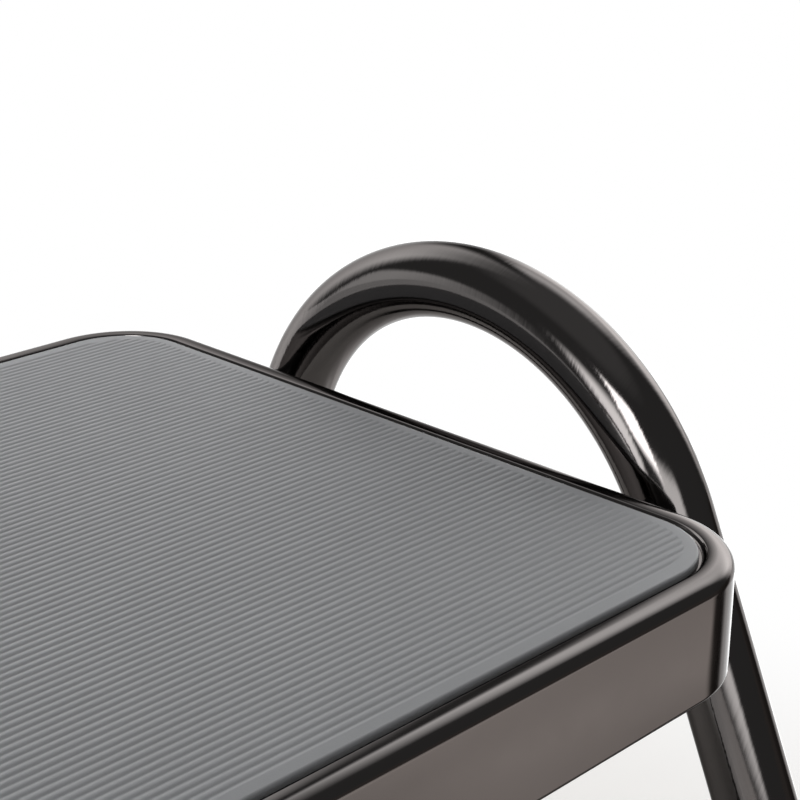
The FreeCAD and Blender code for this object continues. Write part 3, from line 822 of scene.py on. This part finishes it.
class STEP_OT_deck_rails(Operator):
    """Fold the two top-hat rails: flange, web, crown, web and flange from one strip"""
    bl_idname = "step_platform.deck_rails"
    bl_label = "Deck rails"

    def execute(self, context):
        settings = context.scene.step_platform
        rail = settings.rail
        size = RAIL_HIGH - RAIL_LOW
        middle = (RAIL_LOW.y + RAIL_HIGH.y) / 2
        close = 0.1 * MM
        inside = rail.crown / 2 - rail.gauge
        flange = size.y / 2 - inside
        top = tray_level(settings) - settings.deck.gauge
        web = top - RAIL_LOW.z - rail.gauge
        piece = sheet(size.x, flange, (0, middle - inside - flange / 2, top))
        with editing(piece) as mesh:
            pick(mesh, piece, "EDGE", lambda edge: all(v.co.y > middle - inside - close for v in edge.verts))
            for offset in ((0, 0, -web), (0, 2 * inside, 0), (0, 0, web), (0, flange, 0)):
                extrude(offset)
            for level, radius in ((top, rail.bend), (top - web, rail.bend - rail.gauge)):
                pick(mesh, piece, "EDGE", lambda edge: len(edge.link_faces) == 2
                     and all(abs(v.co.z - level) < close for v in edge.verts))
                bpy.ops.mesh.bevel(affect="EDGES", offset=radius, segments=6)
        apply_modifier(piece, "SOLIDIFY", thickness=rail.gauge, offset=-1, use_even_offset=True)
        smooth(piece, 40)
        keep_both(piece, "black_paint", black_paint(settings), ("rail_folded_rear", "deck_rail_rear"),
                  ("rail_folded_front", "deck_rail_front"))
        return {"FINISHED"}


class STEP_OT_bolts(Operator):
    """Turn the button-head bolts, with a hexagon socket in each head"""
    bl_idname = "step_platform.bolts"
    bl_label = "Hoop bolts"

    def execute(self, context):
        settings = context.scene.step_platform
        fastening = settings.fastening
        shank = fastening.bolt / 2
        seat = settings.hoop.place - PLATE_LOW.x + fastening.washer_gauge
        half, flat = fastening.head / 2, fastening.head_flat / 2
        rise = fastening.head_height - fastening.head_edge
        dome = ((half - flat) ** 2 + rise ** 2) / (2 * rise)
        swing = math.degrees(math.asin((half - flat) / dome))
        middle = (flat, seat + fastening.head_height - dome)
        point, edge = 0.7 * MM, 0.3 * MM
        rings = [(shank - point, -fastening.tip), (shank, point - fastening.tip), (shank, seat)]
        rings += [(half - edge, seat), (half, seat + edge), (half, seat + fastening.head_edge)]
        rings += arc(middle, dome, 90 - swing, 90, 8)
        piece = turned(rings, FACETS)
        top = Matrix.Translation((0, 0, seat + fastening.head_height))
        cut(piece, rod(fastening.socket / math.sqrt(3), 2 * fastening.socket_depth, 6, top))
        at_bolt(settings, piece, 0, back=True)
        smooth(piece, 30)
        bolts = join(*at_each_leg(piece).values())
        keep(bolts, "button_head_bolts", "zinc_steel", zinc(settings), "hoop_bolts")
        return {"FINISHED"}


class STEP_OT_washers(Operator):
    """Stamp the plate washers under the bolt heads"""
    bl_idname = "step_platform.washers"
    bl_label = "Plate washers"

    def execute(self, context):
        settings = context.scene.step_platform
        fastening = settings.fastening
        radius, gauge, edge = fastening.washer / 2, fastening.washer_gauge, 0.3 * MM
        piece = turned([(radius - edge, 0), (radius, edge), (radius, gauge - edge), (radius - edge, gauge)],
                       FACETS)
        at_bolt(settings, piece, PLATE_LOW.x - gauge - settings.hoop.place)
        drill(settings, piece)
        smooth(piece, 50)
        washers = join(*at_each_leg(piece).values())
        keep(washers, "plate_washers_stamped", "zinc_steel", zinc(settings), "plate_washers")
        return {"FINISHED"}


class STEP_OT_dowel_nuts(Operator):
    """Turn the dowel nuts that lie along the inside of the legs, drilled across for the bolts"""
    bl_idname = "step_platform.dowel_nuts"
    bl_label = "Dowel nuts"

    def execute(self, context):
        settings = context.scene.step_platform
        fastening, hoop = settings.fastening, settings.hoop
        radius, half, edge = fastening.dowel / 2, fastening.dowel_length / 2, 0.6 * MM
        rings = [(radius - edge, -half), (radius, edge - half), (radius, half - edge), (radius - edge, half)]
        piece = turned(rings, FACETS)
        fit = 0.1 * MM
        aside = hoop.tube / 2 - hoop.wall - fit - radius
        put(piece, (hoop.splay, 0, 0), (hoop.place - aside, bolt_side(settings), bolt_height(settings)))
        cut(piece, bolt_tool(settings, fit))
        smooth(piece, 35)
        nuts = join(*at_each_leg(piece).values())
        keep(nuts, "dowel_nuts_turned", "zinc_steel", zinc(settings), "dowel_nuts")
        return {"FINISHED"}


class STEP_OT_discs(Operator):
    """Dress the steel discs that lie inside the feet"""
    bl_idname = "step_platform.discs"
    bl_label = "Foot discs"

    def execute(self, context):
        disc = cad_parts["foot_discs"]
        disc.data.materials.clear()
        disc.data.materials.append(zinc(context.scene.step_platform))
        return {"FINISHED"}


def softbox(name, place, target, wide, high, brightness):
    """An area lamp of an even brightness over its face, out of sight and of reflections."""
    light = bpy.data.lights.new(name, "AREA")
    light.shape = "RECTANGLE"
    light.size, light.size_y = wide, high
    light.energy = brightness * math.pi * wide * high
    lamp = bpy.data.objects.new(name, light)
    lamp.location = place
    lamp.rotation_euler = (Vector(target) - Vector(place)).to_track_quat("-Z", "Y").to_euler()
    lamp.visible_camera = False
    lamp.visible_glossy = False
    bpy.context.scene.collection.objects.link(lamp)


def heading(tree, vector, about):
    """Heading of a vector round a place, in degrees from +X towards +Y."""
    apart = add_node(tree, "ShaderNodeVectorMath", {0: vector, 1: about}, operation="SUBTRACT")
    axes = add_node(tree, "ShaderNodeSeparateXYZ", {0: apart.outputs["Vector"]})
    turn = add_node(tree, "ShaderNodeMath", {0: axes.outputs["Y"], 1: axes.outputs["X"]}, operation="ARCTAN2")
    return add_node(tree, "ShaderNodeMath", {0: turn.outputs["Value"]}, operation="DEGREES").outputs["Value"]


def glow(tree, level, *edges):
    """A soft-edged patch of light: its level, faded in or out along each value between a start and an end."""
    for value, start, end in edges:
        edge = add_node(tree, "ShaderNodeMapRange", {
            "Value": value, "From Min": start, "From Max": end}, interpolation_type="SMOOTHSTEP")
        level = add_node(tree, "ShaderNodeMath", {
            0: level, 1: edge.outputs["Result"]}, operation="MULTIPLY").outputs["Value"]
    return level


def studio_floor(settings):
    """Pale floor: lit and shadowed near the object, white further off.
    Away from the object it glows with a painted reflection that glossy rays alone see: white behind, a painted dark
    band at the right and a warm grey in front, brighter by the mirror share."""
    begin()
    bpy.ops.mesh.primitive_plane_add(size=30, location=(0, 0, -0.2 * MM))
    floor = bpy.context.object
    floor.name = "studio_floor"
    material = bpy.data.materials.new("matt_floor_paint")
    material.use_nodes = True
    tree = material.node_tree
    shader = tree.nodes["Principled BSDF"]
    feed(tree, shader, {"Base Color": settings.finish.floor, "Roughness": 0.9, "Specular IOR Level": 0.0})
    place = add_node(tree, "ShaderNodeTexCoord").outputs["Object"]
    far = add_node(tree, "ShaderNodeVectorMath", {0: place}, operation="LENGTH").outputs["Value"]
    path = add_node(tree, "ShaderNodeLightPath")
    lift = add_node(tree, "ShaderNodeEmission", {"Color": (1, 1, 1, 1), "Strength": settings.stage.lift})
    lit = add_node(tree, "ShaderNodeAddShader", {0: shader.outputs["BSDF"], 1: lift.outputs["Emission"]})
    white = add_node(tree, "ShaderNodeEmission", {"Color": (1, 1, 1, 1), "Strength": 1.0})
    seen = add_node(tree, "ShaderNodeMixShader", {
        0: glow(tree, 1.0, (far, 0.3, 0.55)), 1: lit.outputs["Shader"], 2: white.outputs["Emission"]})
    near_corner = (0.155, -0.141, 0.0)
    turn = heading(tree, place, near_corner)
    share = add_node(tree, "ShaderNodeMapRange", {"Value": turn, "From Min": -180.0, "From Max": 180.0})
    ramp = add_node(tree, "ShaderNodeValToRGB", {"Fac": share.outputs["Result"]})
    grey, warm = (0.29, 0.29, 0.29, 1.0), (0.48, 0.442, 0.42, 1.0)
    dark, reflected_white = (0.035, 0.031, 0.029, 1.0), (1.0, 1.0, 1.0, 1.0)
    # Painted reflection, seen by glossy rays alone: the floor's glow by heading from the near corner, with a painted
    # dark band at the right
    stops = ((-180, grey), (-60, warm), (-32, warm), (-25, dark), (-10, dark), (-4, reflected_white), (95, reflected_white),
             (118, grey))
    while len(ramp.color_ramp.elements) < len(stops):
        ramp.color_ramp.elements.new(0.5)
    for element, (degrees, tone) in zip(ramp.color_ramp.elements, stops):
        element.position = (degrees + 180) / 360
        element.color = tone
    # Painted reflection: the glow runs in long streaks of brightness
    stretched = add_node(tree, "ShaderNodeMapping", {"Vector": place, "Scale": (0.12, 1.0, 1.0)})
    cloud = add_node(tree, "ShaderNodeTexNoise", {
        "Vector": stretched.outputs["Vector"], "Scale": 1 / (40 * MM), "Detail": 1.0})
    streak = add_node(tree, "ShaderNodeMapRange", {
        "Value": cloud.outputs["Fac"], "From Min": 0.3, "From Max": 0.7, "To Min": 0.75, "To Max": 1.4})
    # Painted reflection: far off, towards the front and right, the glow fades into the painted dark
    front = glow(tree, 0.96, (far, 0.7, 0.95), (turn, -2, -10), (turn, -130, -115))
    faded = add_node(tree, "ShaderNodeMix", {
        "Factor": front, "A": ramp.outputs["Color"], "B": dark}, data_type="RGBA")
    strength = add_node(tree, "ShaderNodeMath", {
        0: streak.outputs["Result"], 1: settings.stage.mirror}, operation="MULTIPLY")
    painted_reflection_glow = add_node(tree, "ShaderNodeEmission", {
        "Color": faded.outputs["Result"], "Strength": strength.outputs["Value"]})
    mirrored = add_node(tree, "ShaderNodeMixShader", {
        0: glow(tree, 1.0, (far, 0.25, 0.5)), 1: shader.outputs["BSDF"], 2: painted_reflection_glow.outputs["Emission"]})
    other = add_node(tree, "ShaderNodeMixShader", {
        0: path.outputs["Is Glossy Ray"], 1: shader.outputs["BSDF"], 2: mirrored.outputs["Shader"]})
    whole = add_node(tree, "ShaderNodeMixShader", {
        0: path.outputs["Is Camera Ray"], 1: other.outputs["Shader"], 2: seen.outputs["Shader"]})
    tree.links.new(whole.outputs["Shader"], tree.nodes["Material Output"].inputs["Surface"])
    floor.data.materials.append(material)


def studio_world(settings):
    """White to the camera. To everything else a dim room with a parted white sweep behind, a low wall and three
    lit cards, and a faint ceiling."""
    scene = bpy.context.scene
    scene.world = scene.world or bpy.data.worlds.new("studio")
    scene.world.use_nodes = True
    tree = scene.world.node_tree
    tree.nodes.clear()
    way = add_node(tree, "ShaderNodeTexCoord").outputs["Generated"]
    turn = heading(tree, way, (0, 0, 0))
    rise = add_node(tree, "ShaderNodeSeparateXYZ", {0: way}).outputs["Z"]
    bearing = add_node(tree, "ShaderNodeMath", {0: turn, 1: 300.0, 2: -60.0}, operation="WRAP").outputs["Value"]
    stage = settings.stage
    down = (-1.2, -1.1)  # no lower edge
    # Brightness, then the bearings and the heights over which each patch fades in and out
    patches = (
        (stage.sweep, (46, 60), (112, 90), down, (0.99, 0.42)),  # left part of the sweep
        (stage.sweep, (-18, 16), (43, 31), down, (0.9, 0.64)),  # right part
        (0.5 * stage.sweep, (33, 44), (60, 50), down, (0.36, 0.16)),  # low strip between them
        (1.6 * stage.sweep, (-14, 8), (42, 28), down, (0.52, 0.28)),  # brighter foot of the right part
        (0.045 * stage.sweep, (-70, -65), (320, 310), (0.76, 0.92), (2.0, 1.5)),  # ceiling
        (stage.wall, (112, 118), (160, 126), down, (0.32, 0.2)),
        (stage.side, (162, 174), (196, 186), (-0.25, 0.15), (0.52, 0.25)),
        (stage.key, (192, 200), (224, 216), (0.26, 0.42), (0.7, 0.62)),
        (stage.front, (214, 222), (262, 250), (0.0, 0.12), (0.52, 0.36)))
    room = stage.room
    for level, begins, ends, low, high in patches:
        patch = glow(tree, level, (bearing, *begins), (bearing, *ends), (rise, *low), (rise, *high))
        room = add_node(tree, "ShaderNodeMath", {0: room, 1: patch}, operation="ADD").outputs["Value"]
    # Painted reflection: glossy rays see the studio brighter than the light it gives, by the mirror share
    path = add_node(tree, "ShaderNodeLightPath")
    gain = add_node(tree, "ShaderNodeMapRange", {
        "Value": path.outputs["Is Glossy Ray"], "To Min": 1.0, "To Max": stage.mirror})
    shown = add_node(tree, "ShaderNodeMath", {0: room, 1: gain.outputs["Result"]}, operation="MULTIPLY")
    level = add_node(tree, "ShaderNodeMix", {
        "Factor": path.outputs["Is Camera Ray"], "A": shown.outputs["Value"], "B": 1.0})
    light = add_node(tree, "ShaderNodeBackground", {"Color": (1, 1, 1, 1), "Strength": level.outputs["Result"]})
    add_node(tree, "ShaderNodeOutputWorld", {"Surface": light.outputs["Background"]})


class STEP_OT_stage(Operator):
    """Lay the floor, hang the lights and set up the camera"""
    bl_idname = "step_platform.stage"
    bl_label = "Stage"

    def execute(self, context):
        scene = context.scene
        settings = scene.step_platform
        stage = settings.stage
        scene.view_settings.view_transform = "Standard"
        studio_floor(settings)
        studio_world(settings)
        softbox("overhead_softbox", (0.5, 0.7, 1.0), (0.0, 0.0, 0.23), 0.9, 0.9, stage.overhead)

        eye = bpy.data.cameras.new("photo_camera")
        eye.lens = stage.lens
        eye.sensor_width = 36.0
        eye.clip_start = 0.01
        camera = bpy.data.objects.new("photo_camera", eye)
        camera.location = stage.eye
        ahead = Vector((math.cos(stage.heading) * math.cos(stage.dip),
                        math.sin(stage.heading) * math.cos(stage.dip), -math.sin(stage.dip)))
        camera.rotation_euler = ahead.to_track_quat("-Z", "Y").to_euler()
        scene.collection.objects.link(camera)
        scene.camera = camera
        return {"FINISHED"}


PIECES = (STEP_OT_deck_pan, STEP_OT_tread_mat, STEP_OT_hoops, STEP_OT_spacers, STEP_OT_feet, STEP_OT_end_plates,
          STEP_OT_deck_rails, STEP_OT_bolts, STEP_OT_washers, STEP_OT_dowel_nuts, STEP_OT_discs, STEP_OT_stage)


class STEP_PT_pieces(Panel):
    """Lists the pieces and their sizes"""
    bl_idname = "STEP_PT_pieces"
    bl_label = "Step platform"
    bl_space_type = "VIEW_3D"
    bl_region_type = "UI"
    bl_category = "Step platform"

    def draw(self, context):
        settings = context.scene.step_platform
        for piece in PIECES:
            self.layout.operator(piece.bl_idname)
        for part in ("deck", "mat", "hoop", "foot", "fastening", "rail", "finish", "stage"):
            box = self.layout.box()
            box.label(text=part.title())
            group = getattr(settings, part)
            for key in group.__annotations__:
                box.prop(group, key)


GROUPS = (DeckSizes, MatSizes, HoopSizes, FootSizes, FasteningSizes, RailSizes, Finishes, StageSizes, StepPlatform)


def register():
    for item in (*GROUPS, *PIECES, STEP_PT_pieces):
        bpy.utils.register_class(item)
    bpy.types.Scene.step_platform = PointerProperty(type=StepPlatform)


def unregister():
    del bpy.types.Scene.step_platform
    for item in reversed((*GROUPS, *PIECES, STEP_PT_pieces)):
        bpy.utils.unregister_class(item)


def main():
    """Make every piece and the stage."""
    register()
    bpy.ops.step_platform.deck_pan()
    bpy.ops.step_platform.tread_mat()
    bpy.ops.step_platform.hoops()
    bpy.ops.step_platform.spacers()
    bpy.ops.step_platform.feet()
    bpy.ops.step_platform.end_plates()
    bpy.ops.step_platform.deck_rails()
    bpy.ops.step_platform.bolts()
    bpy.ops.step_platform.washers()
    bpy.ops.step_platform.dowel_nuts()
    bpy.ops.step_platform.discs()
    bpy.ops.step_platform.stage()


if __name__ == "__main__":
    main()
